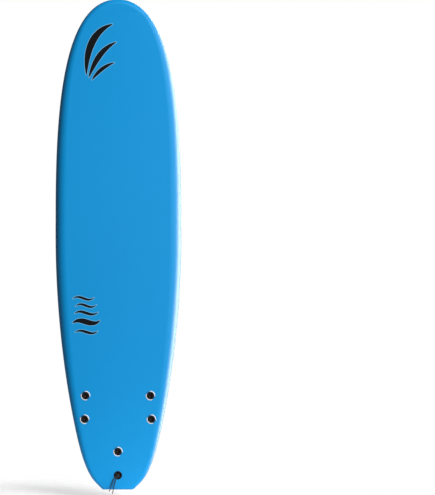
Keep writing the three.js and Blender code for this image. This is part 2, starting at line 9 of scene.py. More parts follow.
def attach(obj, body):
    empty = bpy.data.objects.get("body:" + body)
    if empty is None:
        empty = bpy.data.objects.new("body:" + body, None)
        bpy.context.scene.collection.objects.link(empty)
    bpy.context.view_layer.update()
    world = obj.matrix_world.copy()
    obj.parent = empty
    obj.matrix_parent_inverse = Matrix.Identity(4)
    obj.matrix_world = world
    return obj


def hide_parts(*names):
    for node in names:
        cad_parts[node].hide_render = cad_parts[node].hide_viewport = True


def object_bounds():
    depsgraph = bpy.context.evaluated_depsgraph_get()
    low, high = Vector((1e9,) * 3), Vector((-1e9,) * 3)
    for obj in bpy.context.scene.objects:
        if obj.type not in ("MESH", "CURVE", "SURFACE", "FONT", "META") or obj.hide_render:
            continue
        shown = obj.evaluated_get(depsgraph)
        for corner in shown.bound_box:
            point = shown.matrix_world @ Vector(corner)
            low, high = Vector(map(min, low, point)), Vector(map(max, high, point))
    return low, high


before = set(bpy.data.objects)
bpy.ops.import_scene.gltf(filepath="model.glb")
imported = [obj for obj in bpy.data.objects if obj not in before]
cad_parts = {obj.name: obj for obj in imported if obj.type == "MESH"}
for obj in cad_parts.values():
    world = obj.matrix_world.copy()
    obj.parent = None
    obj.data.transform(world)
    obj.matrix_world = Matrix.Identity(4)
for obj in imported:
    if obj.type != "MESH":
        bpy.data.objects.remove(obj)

# A 7'0" soft-top surfboard standing nose up. Metres, in the CAD frame:
# +Z to the nose, deck facing -Y, flat of the bottom facing +Y, origin on the bottom at mid-length.

cad_low, cad_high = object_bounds()

MM = 0.001

# ---- Dimensions ----
# Mostly the CAD's own; NOSE_ROLL, NOSE_BLEND and fine details such as bevels are only here.

LENGTH = 2134 * MM
NOSE_Z = LENGTH / 2
TAIL_Z = -LENGTH / 2
MAX_HALF_WIDTH = 275.5 * MM
MAX_THICKNESS = 84.5 * MM
WIDE_POINT_Z = 120 * MM
TAIL_HALF_WIDTH = 68 * MM
NOSE = dict(flat=67 * MM, rocker=123 * MM, rocker_power=2.3, thick=33 * MM, thin_power=2.4)
TAIL = dict(flat=-135 * MM, rocker=57 * MM, rocker_power=2, thick=31 * MM, thin_power=1.75)
RAIL_APEX = 0.3
RAIL_ROLL = 0.62
BOTTOM_EDGE = 4 * MM
WIDEST_EDGE = 0.3
WIDEST_ROLL = 0.75
RAIL_POWERS = dict(tuck=0.8, side=0.9, shoulder=0.95)
DECK_CROWN = 2.5 * MM
CROWN_SHARE = 0.2
END_ROLL = 20 * MM
NOSE_ROLL = 23 * MM
NOSE_BLEND = (95 * MM, 45 * MM)
TAIL_ROLL = 14 * MM

GAP = 0.3 * MM
PAST = 1 * MM  # how far a cutter goes past a face
SKIN = 5 * MM
SLICK = 1.6 * MM
SLICK_INSET = 4.6 * MM

BOLT_FRONT_Z = 48 * MM
BOLT_REAR_Z = -55 * MM
BLADE_FRONT_Z = 40 * MM
BLADE_DEPTH = 113.5 * MM
BLADE_THICKNESS = 6.4 * MM
BLADE_TIP_THICKNESS = 2 * MM
BLADE_TAPER = 1.6
BLADE_LAST_LAYER = 0.997
ROOT_FLARE = dict(share=0.16, reach=4 * MM)
FOIL = dict(thinnest=0.1, forward=0.75, fullness=0.8, edge_start=0.02, edge_rise=40)
PLATE = dict(length=150 * MM, width=31 * MM, thickness=2.4 * MM, corner=5 * MM, bevel=0.9 * MM)
PLATE_SEAT = GAP + 0.1 * MM
BOX = dict(front=62 * MM, rear=-68 * MM, width=26 * MM, depth=14 * MM, top=1 * MM)
TOWER = dict(radius=8 * MM, bore=3.3 * MM, bore_start=5 * MM, bore_end=7.2 * MM)
TAB = dict(length=20 * MM, width=6 * MM, depth=10.5 * MM, root=2 * MM, centres=(23 * MM, -26 * MM))
GRUB = dict(radius=2.5 * MM, length=7 * MM, x=8.4 * MM, middle=1 * MM, bore_end=6 * MM, bevel=0.4 * MM)
GRUB_SOCKET = dict(radius=1.25 * MM, depth=2 * MM)

UNITS = {
    "left": dict(x=-143.5 * MM, z=-705 * MM, toe=-2.2, cant=4, grubs=(1, 1)),
    "right": dict(x=143.5 * MM, z=-705 * MM, toe=2.2, cant=-4, grubs=(-1, -1)),
    "center": dict(x=0, z=-949 * MM, toe=0, cant=0, grubs=(1, -1)),
}

SEAT = 0.8 * MM
SHANK = 3 * MM
HEAD = 5.6 * MM
HEAD_HEIGHT = 4.4 * MM
HEAD_BEVEL = 0.7 * MM
TIP_BEVEL = 0.8 * MM
TIP_COVER = 8 * MM  # from a bolt's tip to the bottom
HEX = 2.6 * MM
CUP_SIDES = 72

# Turned mouldings, in millimetres.
PLUG = dict(flange=16.5, proud=3.5, sleeve=11, recess=8.2, recess_depth=8, depth=11)
LEASH_CUP = dict(flange=18.2, proud=2.2, sleeve=16.5, recess=13.2, recess_depth=15, depth=18)
CUP_EDGES = dict(bore_gap=0.4, rim=1, chamfer=1.5, lip=0.6, lip_depth=0.8, rounding=0.35)
RING = dict(inner=16.9, outer=20.8, height=2.2, lean=0.4, edge=0.7, chamfer=1.5, rounding=0.4)

PLACES = ("front", "rear")

STRING_RADIUS = 2 * MM
STRING_LOOP = 6 * MM
STRING_SIDE_STEP = 2.3 * MM
STRING_FIRST_TURN = math.radians(3.5)
STRING_FIRST_SIDE = 0.15
BAR = dict(radius=2.5 * MM, half_length=15.6 * MM, height=1 * MM, bevel=0.4 * MM)


# ---- Hull surfaces ----

def share(z, end, start):
    return min(1, max(0, (z - start) / (end - start)))


def rocker(z):
    """How far the bottom has curved towards the deck."""
    end, shape = (NOSE_Z, NOSE) if z > NOSE["flat"] else (TAIL_Z, TAIL)
    return shape["rocker"] * share(z, end, shape["flat"]) ** shape["rocker_power"]


def thickness(z):
    end, shape = (NOSE_Z, NOSE) if z > NOSE["flat"] else (TAIL_Z, TAIL)
    thinned = share(z, end, shape["flat"]) ** shape["thin_power"]
    return MAX_THICKNESS - (MAX_THICKNESS - shape["thick"]) * thinned


def rounded(distance, length):
    """A quarter round: 0 at the end itself, 1 once past the rounded stretch."""
    q = min(1, max(0, distance / length))
    return math.sqrt(q * (2 - q))


def levels(z):
    """Heights above the bottom surface: where the section starts, its widest line, the deck."""
    full = thickness(z)
    apex = RAIL_APEX * full
    deck_round = rounded(NOSE_Z - z, END_ROLL) * rounded(z - TAIL_Z + TAIL_ROLL / 4, TAIL_ROLL)
    bottom_round = rounded(NOSE_Z - z, BOTTOM_EDGE)
    return apex * (1 - bottom_round), apex, apex + (1 - RAIL_APEX) * full * deck_round


def bezier(points, t):
    a, b, c, d = (Vector(p) for p in points)
    s = 1 - t
    return a * s**3 + b * (3 * s * s * t) + c * (3 * s * t * t) + d * t**3


OUTLINE_CURVES = [
    [(NOSE_Z, 0), (NOSE_Z, 260 * MM), (WIDE_POINT_Z + 382 * MM, MAX_HALF_WIDTH),
     (WIDE_POINT_Z, MAX_HALF_WIDTH)],
    [(WIDE_POINT_Z, MAX_HALF_WIDTH), (WIDE_POINT_Z - 97 * MM, MAX_HALF_WIDTH), (-365 * MM, 285 * MM),
     (-820 * MM, 184.5 * MM)],
    [(-820 * MM, 184.5 * MM), (-1018 * MM, 140.7 * MM), (-1033 * MM, 102 * MM), (TAIL_Z, TAIL_HALF_WIDTH)],
]


def outline(nose_steps=90, hip_steps=44, tail_steps=40):
    """The plan outline from nose tip to tail corner, as (z, half width)."""
    nose, hip, tail = OUTLINE_CURVES
    points = [bezier(nose, (i / nose_steps) ** 1.5) for i in range(1, nose_steps + 1)]
    points += [bezier(hip, i / hip_steps) for i in range(1, hip_steps + 1)]
    points += [bezier(tail, i / tail_steps) for i in range(1, tail_steps + 1)]
    return points


def direction(points, i):
    """The direction of a line of points at one of them."""
    return (points[min(i + 1, len(points) - 1)] - points[max(i - 1, 0)]).normalized()


def inset_outline(inset):
    """The outline moved inwards along its own normal, ending short of the tail by as much."""
    points = outline()
    inner = []
    for i, p in enumerate(points):
        along = direction(points, i)
        inner.append(Vector((p.x - along.y * inset, p.y + along.x * inset)))
    end = TAIL_Z + inset
    margin = 0.5 * MM
    kept = [p for p in inner if p.y > margin and p.x > end + margin]
    last, before = kept[-1], kept[-2]
    slope = (last.y - before.y) / (last.x - before.x)
    kept.append(Vector((end, last.y + slope * (end - last.x))))
    return kept


def width_along(points):
    """A function of z that gives the half width of an outline, 0 past its ends."""
    zs = np.array([p.x for p in reversed(points)])
    widths = np.array([p.y for p in reversed(points)])
    return lambda z: float(np.interp(z, zs, widths, left=0, right=0))


half_width = width_along([Vector((NOSE_Z, 0))] + outline())


def roll_width(z, half):
    """How far the rail's roll reaches inwards."""
    return min(RAIL_ROLL * thickness(z), WIDEST_ROLL * half)


def crown_height(apex, deck):
    """How much higher the deck's middle is than its edges."""
    return min(DECK_CROWN, (deck - apex) * CROWN_SHARE)


def deck_y(x, z):
    """The deck surface's Y inside the rails."""
    _, apex, deck = levels(z)
    half = half_width(z)
    across = min(1, abs(x) / (half - roll_width(z, half)))
    return -(rocker(z) + deck - crown_height(apex, deck) * across**2)


# ---- Mesh helpers ----

def link(obj):
    bpy.context.scene.collection.objects.link(obj)
    return obj


def object_from(name, bm, smooth_angle=35):
    """Closes a bmesh into an object with its faces pointing out, smooth below an angle."""
    bmesh.ops.recalc_face_normals(bm, faces=bm.faces)
    mesh = bpy.data.meshes.new(name)
    for face in bm.faces:
        face.smooth = True
    limit = math.radians(smooth_angle)
    for edge in bm.edges:
        if len(edge.link_faces) == 2 and edge.calc_face_angle(0) > limit:
            edge.smooth = False
    bm.to_mesh(mesh)
    bm.free()
    return link(bpy.data.objects.new(name, mesh))


def rows_to_bmesh(rows, closed_rows=False, caps=False):
    """A grid of points as quads. closed_rows joins each row's ends; caps fills the end rows."""
    bm = bmesh.new()
    verts = [[bm.verts.new(p) for p in row] for row in rows]
    count = len(rows[0])
    across = count if closed_rows else count - 1
    for r in range(len(rows) - 1):
        for i in range(across):
            j = (i + 1) % count
            bm.faces.new((verts[r][i], verts[r][j], verts[r + 1][j], verts[r + 1][i]))
    if caps:
        bm.faces.new(list(reversed(verts[0])))
        bm.faces.new(verts[-1])
    return bm


def clean(bm, distance=0.01 * MM):
    bmesh.ops.remove_doubles(bm, verts=bm.verts, dist=distance)
    bmesh.ops.dissolve_degenerate(bm, edges=bm.edges, dist=distance)


def turned_bmesh(profile, segments):
    """A piece turned about Y from a closed profile of (radius, height out of the deck)."""
    rows = []
    for i in range(segments):
        a = 2 * math.pi * i / segments
        rows.append([(r * math.cos(a), -h, r * math.sin(a)) for r, h in profile])
    bm = rows_to_bmesh(rows + [rows[0]], closed_rows=True)
    clean(bm)
    return bm


def soften(profile, radius, steps=3):
    """Rounds every corner of a closed profile."""
    out = []
    count = len(profile)
    for i in range(count):
        here = Vector(profile[i])
        before = Vector(profile[i - 1]) - here
        after = Vector(profile[(i + 1) % count]) - here
        reach = min(radius, before.length * 0.4, after.length * 0.4)
        a = here + before.normalized() * reach
        b = here + after.normalized() * reach
        for k in range(steps + 1):
            t = k / steps
            out.append(a * (1 - t) ** 2 + here * (2 * t * (1 - t)) + b * t**2)
    return out


def apply_modifiers(obj):
    """Bakes an object's modifiers into its mesh."""
    graph = bpy.context.evaluated_depsgraph_get()
    mesh = bpy.data.meshes.new_from_object(obj.evaluated_get(graph))
    obj.modifiers.clear()
    obj.data = mesh
    return obj


def combine(obj, others, operation):
    """Applies a boolean operation with other solids, then removes them."""
    for other in others:
        mod = obj.modifiers.new("combine", "BOOLEAN")
        mod.operation = operation
        mod.solver = "EXACT"
        mod.object = other
    apply_modifiers(obj)
    for other in others:
        bpy.data.objects.remove(other)
    return obj


def cut(obj, cutters):
    return combine(obj, cutters, "DIFFERENCE")


def join_on(obj, others):
    return combine(obj, others, "UNION")


def bevel(obj, width, segments):
    mod = obj.modifiers.new("bevel", "BEVEL")
    mod.width = width
    mod.segments = segments
    mod.limit_method = "ANGLE"
    mod.angle_limit = math.radians(40)
    mod.use_clamp_overlap = True
    mod.harden_normals = True
    return apply_modifiers(obj)


def prism(name, shape, y0, y1):
    """A solid between two heights Y from a flat outline of (x, z)."""
    rows = [[(x, y, z) for x, z in shape] for y in (y0, y1)]
    return object_from(name, rows_to_bmesh(rows, closed_rows=True, caps=True), 30)


def block(name, x0, x1, y0, y1, z0, z1):
    return prism(name, [(x0, z0), (x1, z0), (x1, z1), (x0, z1)], y0, y1)


def circle(radius, sides, x=0, z=0):
    angles = [2 * math.pi * i / sides for i in range(sides)]
    return [(x + radius * math.cos(a), z + radius * math.sin(a)) for a in angles]


def pin(name, radius, y0, y1, x=0, z=0, sides=48):
    return prism(name, circle(radius, sides, x, z), y0, y1)


def moved(obj, matrix):
    obj.data.transform(matrix)
    return obj


def tag_points(obj, name, values):
    """Stores a number at each vertex, for a material to read."""
    layer = obj.data.attributes.new(name, "FLOAT", "POINT")
    layer.data.foreach_set("value", values)


def dress(obj, material):
    obj.data.materials.clear()
    obj.data.materials.append(material)


def finish_piece(obj, material, node, body="board"):
    """Gives a piece its material, puts it on its body, and lets it stand for its CAD node."""
    dress(obj, material)
    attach(obj, body)
    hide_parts(node)
    return obj


# ---- Shader helpers ----

def connect(tree, value, socket):
    """Links a number or a socket to an input, or sets the input to a plain value."""
    value = value.socket if isinstance(value, Num) else value
    if isinstance(value, bpy.types.NodeSocket):
        tree.links.new(value, socket)
    else:
        socket.default_value = value


def new_node(tree, kind, **inputs):
    node = tree.nodes.new(f"ShaderNode{kind}")
    for name, value in inputs.items():
        connect(tree, value, node.inputs[name.replace("_", " ")])
    return node


class Num:
    """A number in a node tree, so that a pattern reads as a formula."""

    def __init__(self, tree, socket):
        self.tree = tree
        self.socket = socket

    def op(self, operation, *others):
        node = new_node(self.tree, "Math")
        node.operation = operation
        for socket, value in zip(node.inputs, (self, *others)):
            connect(self.tree, value, socket)
        return Num(self.tree, node.outputs[0])

    def __add__(self, other):
        return self.op("ADD", other)

    def __sub__(self, other):
        return self.op("SUBTRACT", other)

    def __mul__(self, other):
        return self.op("MULTIPLY", other)

    def __truediv__(self, other):
        return self.op("DIVIDE", other)

    def sin(self):
        return self.op("SINE")

    def abs(self):
        return self.op("ABSOLUTE")

    def from_middle(self):
        """How far the number's fraction is from one half."""
        return (self.op("FRACT") - 0.5).abs()

    def smooth(self, low, high):
        """0 below low, 1 above high, an even slope between."""
        node = new_node(self.tree, "MapRange", Value=self, From_Min=low, From_Max=high)
        node.interpolation_type = "SMOOTHSTEP"
        return Num(self.tree, node.outputs["Result"])

    def flipped(self):
        return (self * -1) + 1


class Look:
    """A material built from nodes round one Principled shader."""

    def __init__(self, name, color, roughness, metallic=0.0):
        self.material = bpy.data.materials.new(name)
        self.material.use_nodes = True
        self.tree = self.material.node_tree
        self.shader = self.tree.nodes["Principled BSDF"]
        self.set(Base_Color=(*color, 1), Roughness=roughness, Metallic=metallic)
        self.place = new_node(self.tree, "TexCoord").outputs["Object"]

    def set(self, **values):
        for name, value in values.items():
            connect(self.tree, value, self.shader.inputs[name.replace("_", " ")])
        return self

    def axes(self):
        node = new_node(self.tree, "SeparateXYZ", Vector=self.place)
        return [Num(self.tree, node.outputs[i]) for i in range(3)]

    def noise(self, scale, detail=3.0, roughness=0.5, stretch=(1, 1, 1)):
        place = new_node(self.tree, "Mapping", Vector=self.place, Scale=stretch).outputs[0]
        node = new_node(self.tree, "TexNoise", Vector=place, Scale=scale, Detail=detail, Roughness=roughness)
        return Num(self.tree, node.outputs["Fac"])

    def cells(self, scale):
        """The distance to the edges of a cell pattern."""
        node = new_node(self.tree, "TexVoronoi", Vector=self.place, Scale=scale)
        node.feature = "DISTANCE_TO_EDGE"
        return Num(self.tree, node.outputs["Distance"])

    def attribute(self, name):
        node = new_node(self.tree, "Attribute")
        node.attribute_name = name
        return Num(self.tree, node.outputs["Fac"])

    def mix(self, amount, first, second):
        """A colour between two colours or colour sockets."""
        node = new_node(self.tree, "Mix")
        node.data_type = "RGBA"
        connect(self.tree, amount, node.inputs[0])
        for socket, value in ((node.inputs[6], first), (node.inputs[7], second)):
            connect(self.tree, (*value, 1) if isinstance(value, tuple) else value, socket)
        return node.outputs[2]

    def paint(self, color):
        return self.set(Base_Color=color)

    def vary_roughness(self, amount, low, high):
        node = new_node(self.tree, "MapRange", Value=amount, To_Min=low, To_Max=high)
        return self.set(Roughness=node.outputs["Result"])

    def bump(self, height, strength, distance):
        node = new_node(self.tree, "Bump", Height=height, Strength=strength, Distance=distance)
        return self.set(Normal=node.outputs["Normal"])


def linear(r, g, b):
    """A screen colour of 0 to 255 as linear light."""
    def one(v):
        v /= 255
        return v / 12.92 if v <= 0.04045 else ((v + 0.055) / 1.055) ** 2.4
    return one(r), one(g), one(b)


# ---- Materials ----

DECK_BLUE = linear(2, 153, 222)
DEEP_BLUE = linear(3, 126, 198)


def deck_foam_look():
    look = Look("deck_foam", DECK_BLUE, 0.55)
    drift = look.noise(2.2, 2.0, stretch=(1, 1, 0.5)).smooth(0.3, 0.7)
    pores = look.cells(420)
    grain = look.noise(900, 2.0)
    shade = pores.smooth(0.0, 0.12).flipped() * 0.16 + drift * 0.05
    look.paint(look.mix(shade, DECK_BLUE, DEEP_BLUE))
    look.vary_roughness(grain, 0.48, 0.62)
    look.bump(pores.smooth(0.0, 0.25) + grain * 0.4, 0.25, 0.25 * MM)
    look.set(Specular_IOR_Level=0.25, Sheen_Weight=0.6, Sheen_Roughness=0.3)
    return look.material


def bead_foam_look():
    look = Look("bead_foam", linear(246, 245, 240), 0.85)
    beads = look.cells(260)
    look.paint(look.mix(beads.smooth(0.0, 0.1), linear(214, 213, 207), linear(248, 247, 243)))
    look.bump(beads.smooth(0.0, 0.3), 0.5, 0.6 * MM)
    look.vary_roughness(beads, 0.75, 0.95)
    return look.material


def stringer_wood_look():
    look = Look("stringer_wood", linear(200, 160, 104), 0.6)
    fibres = look.noise(60, 6.0, 0.6, stretch=(6, 6, 0.25))
    rings = look.noise(14, 3.0, stretch=(5, 5, 0.12))
    figure = (fibres * 0.6 + rings * 0.4).smooth(0.35, 0.65)
    look.paint(look.mix(figure, linear(168, 122, 72), linear(219, 183, 128)))
    look.bump(fibres, 0.3, 0.2 * MM)
    look.vary_roughness(fibres, 0.5, 0.7)
    return look.material


# The printed bottom: stripes across the board that crowd and spread like ripples. Each swell is the
# sine and cosine of one more wave in a period, in stripes. On both sides of the middle, once a period,
# a fork adds two stripes, so that more of them reach the rails.
RIPPLE_PERIOD = 851 * MM
RIPPLE_STRIPES = 34
RIPPLE_CENTRE_Z = NOSE_Z - 401 * MM
FORK_Z = NOSE_Z - 281 * MM
FORK_X = 118 * MM
FORK_SPREAD = 196 * MM
FORK_ROUNDING = 40 * MM
FLAT_MIDDLE = 83 * MM
FLAT_RAIL = 213 * MM
MIDDLE_SWELLS = (
    (-0.07, -0.19), (-0.18, -0.15), (0.46, 0.19), (0.56, 0), (-0.19, 0.05), (0.21, -0.07), (0.21, -0.01),
)
RAIL_SWELLS = ((0.49, 0.08), (-0.11, -0.06), (0.09, -0.13))
STRIPE_START = 0.56
STRIPE_SHARE = 0.58
WIDEST_STRIPE = 18.5 * MM
WIDEST_SPACING = 60 * MM
WHITE_MARGIN = 9 * MM
FAINT_LINE_STEP = 51.7 * MM
FAINT_DASH_STEP = 17 * MM


def swells(turn, amounts):
    total = turn * 0
    for i, (sine, cosine) in enumerate(amounts):
        total = total + (turn * (i + 1)).sin() * sine + (turn * (i + 1) + math.pi / 2).sin() * cosine
    return total


def stripe_phase(x, z):
    """How many stripes lie between a point of the printed sheet and the nose."""
    sideways = x.abs()
    turn = (z * -1 + RIPPLE_CENTRE_Z) * (2 * math.pi / RIPPLE_PERIOD)
    down = (z * -1 + FORK_Z) / RIPPLE_PERIOD
    past_fork = (x * x + FORK_ROUNDING**2).op("SQRT") - math.hypot(FORK_X, FORK_ROUNDING)
    fork = (down * math.pi).op("TANGENT").op("ARCTAN2", past_fork / FORK_SPREAD) / math.pi
    to_rail = ((sideways - FLAT_MIDDLE) / (FLAT_RAIL - FLAT_MIDDLE)).op("MAXIMUM", 0).op("MINIMUM", 1)
    phase = down * RIPPLE_STRIPES + fork + STRIPE_START
    return phase + swells(turn, MIDDLE_SWELLS) * to_rail.flipped() + swells(turn, RAIL_SWELLS) * to_rail


def slick_look():
    look = Look("printed_slick", linear(250, 251, 251), 0.2)
    x, _, z = look.axes()
    phase = stripe_phase(x, z)
    step = 1 * MM
    per_metre = ((stripe_phase(x, z - step) - phase) / step).op("MAXIMUM", 1 / WIDEST_SPACING)
    half_stripe = (per_metre * (WIDEST_STRIPE / 2)).op("MINIMUM", STRIPE_SHARE / 2)
    stripe = (half_stripe - (phase + 0.5).from_middle()).smooth(-0.02, 0.02)
    inside = look.attribute("from_edge").smooth(WHITE_MARGIN - 0.4 * MM, WHITE_MARGIN + 0.4 * MM)

    line = (x / FAINT_LINE_STEP).from_middle().smooth(0.008, 0.02).flipped()
    dash = (z / FAINT_DASH_STEP).from_middle().smooth(0.2, 0.26).flipped()
    tick = ((x / (FAINT_LINE_STEP / 2)).from_middle().smooth(0.1, 0.16).flipped()
            * (z / FAINT_DASH_STEP).from_middle().smooth(0.05, 0.1).flipped())
    faint = (line * dash * 0.8 + tick * 0.6) * inside

    white = linear(250, 251, 251)
    grey = linear(120, 124, 128)
    black = linear(8, 8, 10)
    under = look.mix(faint, white, grey)
    look.paint(look.mix(stripe * inside, under, black))
    haze = look.noise(6, 3.0)
    look.vary_roughness(haze, 0.16, 0.26)
    look.bump(look.noise(3.5, 2.0, stretch=(1, 1, 0.4)), 0.12, 1.2 * MM)
    look.set(Coat_Weight=0.25, Coat_Roughness=0.08)
    return look.material


def moulded_look(name, color, low, high):
    look = Look(name, color, low)
    grain = look.noise(700, 3.0)
    cloud = look.noise(30, 3.0)
    lifted = tuple(c * 1.9 + 0.003 for c in color)
    look.paint(look.mix(cloud.smooth(0.35, 0.75) * 0.5, color, lifted))
    look.vary_roughness(grain * 0.6 + cloud * 0.4, low, high)
    look.bump(grain, 0.15, 0.12 * MM)
    return look


def fin_look():
    look = Look("fin_plastic", linear(15, 15, 17), 0.3)
    flow = look.noise(9, 3.0, stretch=(1, 1, 0.35))
    grain = look.noise(1500, 2.0)
    look.paint(look.mix(flow.smooth(0.3, 0.75), linear(12, 12, 14), linear(24, 24, 27)))
    look.vary_roughness(flow * 0.7 + grain * 0.3, 0.24, 0.4)
    look.bump(grain, 0.05, 0.05 * MM)
    look.set(Specular_IOR_Level=0.3)
    return look.material


def ring_look():
    look = Look("ring_plastic", linear(240, 246, 250), 0.2)
    cloud = look.noise(80, 2.0)
    blue = look.mix(cloud, linear(24, 118, 176), linear(34, 136, 196))
    white = look.mix(cloud, linear(236, 244, 248), linear(252, 253, 254))
    # Painted highlight: the ring's blue turns white on the painted arcs.
    look.paint(look.mix(look.attribute("painted_glint"), blue, white))
    look.vary_roughness(cloud, 0.18, 0.3)
    look.bump(look.noise(500, 2.0), 0.1, 0.1 * MM)
    look.set(Coat_Weight=0.4)
    return look.material


def steel_look(name, dark, light):
    look = Look(name, linear(*light), 0.3, 1.0)
    scratches = look.noise(240, 4.0, stretch=(8, 1, 1))
    look.paint(look.mix(scratches, linear(*dark), linear(*light)))
    look.vary_roughness(scratches, 0.22, 0.42)
    look.bump(scratches, 0.12, 0.06 * MM)
    return look.material


def cord_look():
    look = Look("braided_cord", linear(24, 26, 32), 0.75)
    tip = look.attribute("tip")
    fleck = look.noise(1200, 2.0)
    dark = look.mix(fleck.smooth(0.35, 0.7), linear(9, 11, 20), linear(30, 36, 52))
    burnt = look.mix(fleck, linear(120, 84, 58), linear(196, 158, 124))
    look.paint(look.mix(tip, dark, burnt))
    look.vary_roughness(fleck, 0.65, 0.85)
    look.bump(fleck, 0.3, 0.08 * MM)
    look.set(Sheen_Weight=0.3, Sheen_Roughness=0.5)
    return look.material


def print_look(name, color):
    look = Look(name, color, 0.45)
    grain = look.noise(600, 3.0)
    look.paint(look.mix(grain * 0.3, color, tuple(min(1, c * 1.3 + 0.004) for c in color)))
    look.vary_roughness(grain, 0.4, 0.55)
    look.bump(grain, 0.1, 0.08 * MM)
    look.set(Specular_IOR_Level=0.2)
    return look.material


deck_foam = deck_foam_look()
bead_foam = bead_foam_look()
stringer_wood = stringer_wood_look()
printed_slick = slick_look()
box_plastic = moulded_look("box_plastic", linear(20, 20, 22), 0.34, 0.5).material
fin_plastic = fin_look()
plug_look = moulded_look("plug_plastic", linear(8, 8, 10), 0.36, 0.55)
plug_plastic = plug_look.set(Specular_IOR_Level=0.35).material
ring_plastic = ring_look()
steel = steel_look("steel", (150, 138, 128), (214, 208, 202))
blackened_steel = steel_look("blackened_steel", (52, 40, 38), (92, 72, 66))
bronzed_steel = steel_look("bronzed_steel", (136, 98, 84), (206, 160, 142))
braided_cord = cord_look()
print_black = print_look("print_black", linear(4, 8, 16))
print_pale = print_look("print_pale", linear(126, 190, 226))


# ---- Camera ----
# The board nearly fills the height of the frame and stands left of its middle, seen square on.

LENS = 200
SENSOR = 36
SHARE_OF_HEIGHT = 490 / 495
VIEW_HEIGHT = LENGTH / SHARE_OF_HEIGHT
DECK_PLANE = -0.1  # about where the deck's face lies
CAMERA_X = 0.434
CAMERA_Z = -0.011


def make_camera():
    data = bpy.data.cameras.new("camera")
    data.lens = LENS
    data.sensor_width = SENSOR
    data.clip_end = 100
    camera = link(bpy.data.objects.new("camera", data))
    distance = VIEW_HEIGHT * LENS / SENSOR
    camera.location = (CAMERA_X, DECK_PLANE - distance, CAMERA_Z)
    camera.rotation_euler = (math.pi / 2, 0, 0)
    bpy.context.scene.camera = camera


make_camera()


# ---- Leash string ----
# Listed points of each strand past the bar, in the leash cup's frame, as in the CAD.

OVER_TAIL = [
    (-1.5, -7.0, -5.9), (-5.6, -7.4, -11.8), (-9.3, -8.2, -19.5), (-12.3, -9.4, -29), (-14.6, -10.6, -39),
    (-16.8, -11.2, -50), (-19.4, -10.8, -61), (-22.0, -9.6, -71), (-24.2, -7.8, -81.5),
]
UNDER_TAIL = [
    (-4.5, 4.3, -1.1), (-7.0, 1.2, -3.6), (-8.8, -2.4, -5.3), (-11.0, -5.2, -7.4), (-14.0, -6.6, -10.1),
    (-17.6, -7.6, -15.6), (-21.4, -8.8, -24), (-25.0, -9.9, -34), (-28.6, -10.4, -44.5), (-32.6, -10.0, -56),
    (-37.8, -8.2, -71),
]


def unit_matrix(unit):
    place = Matrix.Translation((unit["x"], -rocker(unit["z"]), unit["z"]))
    return place @ Matrix.Rotation(math.radians(-unit["toe"]), 4, "Y")


def bottom_slope(z):
    step = 1 * MM
    return math.atan((rocker(z - step) - rocker(z + step)) / (2 * step))


def tilt_matrix(unit):
    return Matrix.Rotation(-bottom_slope(unit["z"]), 4, "X")


def bolt_spots(unit):
    """The two bolts of a fin unit: points on the deck."""
    spots = []
    for bolt_z in (BOLT_FRONT_Z, BOLT_REAR_Z):
        p = unit_matrix(unit) @ Vector((0, 0, bolt_z))
        spots.append(Vector((p.x, deck_y(p.x, p.z), p.z)))
    return spots


def cup_at(name, where):
    """The leash cup stands over the centre fin's rear bolt, and a plug over each other bolt."""
    return LEASH_CUP if (name, where) == ("center", "rear") else PLUG


leash_origin = bolt_spots(UNITS["center"])[1]
AWAY = Vector((-1, 0, -1)).normalized()
BAR_LINE = Vector((1, 0, -1)).normalized()
OUT = Vector((0, -1, 0))


def strand_points(sign, tail):
    """Nearly a quarter turn round the bar, then the listed points."""
    points = []
    steps = 4
    for i in range(steps + 1):
        turn = sign * (STRING_FIRST_TURN + i / steps * (math.pi / 2 - STRING_FIRST_TURN))
        side = sign * STRING_SIDE_STEP * (STRING_FIRST_SIDE + (1 - STRING_FIRST_SIDE) * i / steps)
        points.append(AWAY * (-STRING_LOOP * math.cos(turn))
                      + OUT * (STRING_LOOP * math.sin(turn) + BAR["height"]) + BAR_LINE * side)
    points += [Vector(p) * MM for p in tail]
    return [leash_origin + p for p in points]


def smooth_route(points, per_span=22):
    """A centripetal Catmull-Rom curve through the points."""
    padded = [points[0] * 2 - points[1], *points, points[-1] * 2 - points[-2]]
    route = []
    for i in range(1, len(padded) - 2):
        p = padded[i - 1:i + 3]
        knots = [0.0]
        for a, b in zip(p, p[1:]):
            knots.append(knots[-1] + (b - a).length ** 0.5)
        for k in range(per_span):
            t = knots[1] + (knots[2] - knots[1]) * k / per_span
            level = p
            for depth in range(1, 4):
                spans = zip(level, level[1:], knots, knots[depth:])
                level = [(a * (end - t) + b * (t - start)) / (end - start) for a, b, start, end in spans]
            route.append(level[0])
    route.append(points[-1])
    return route


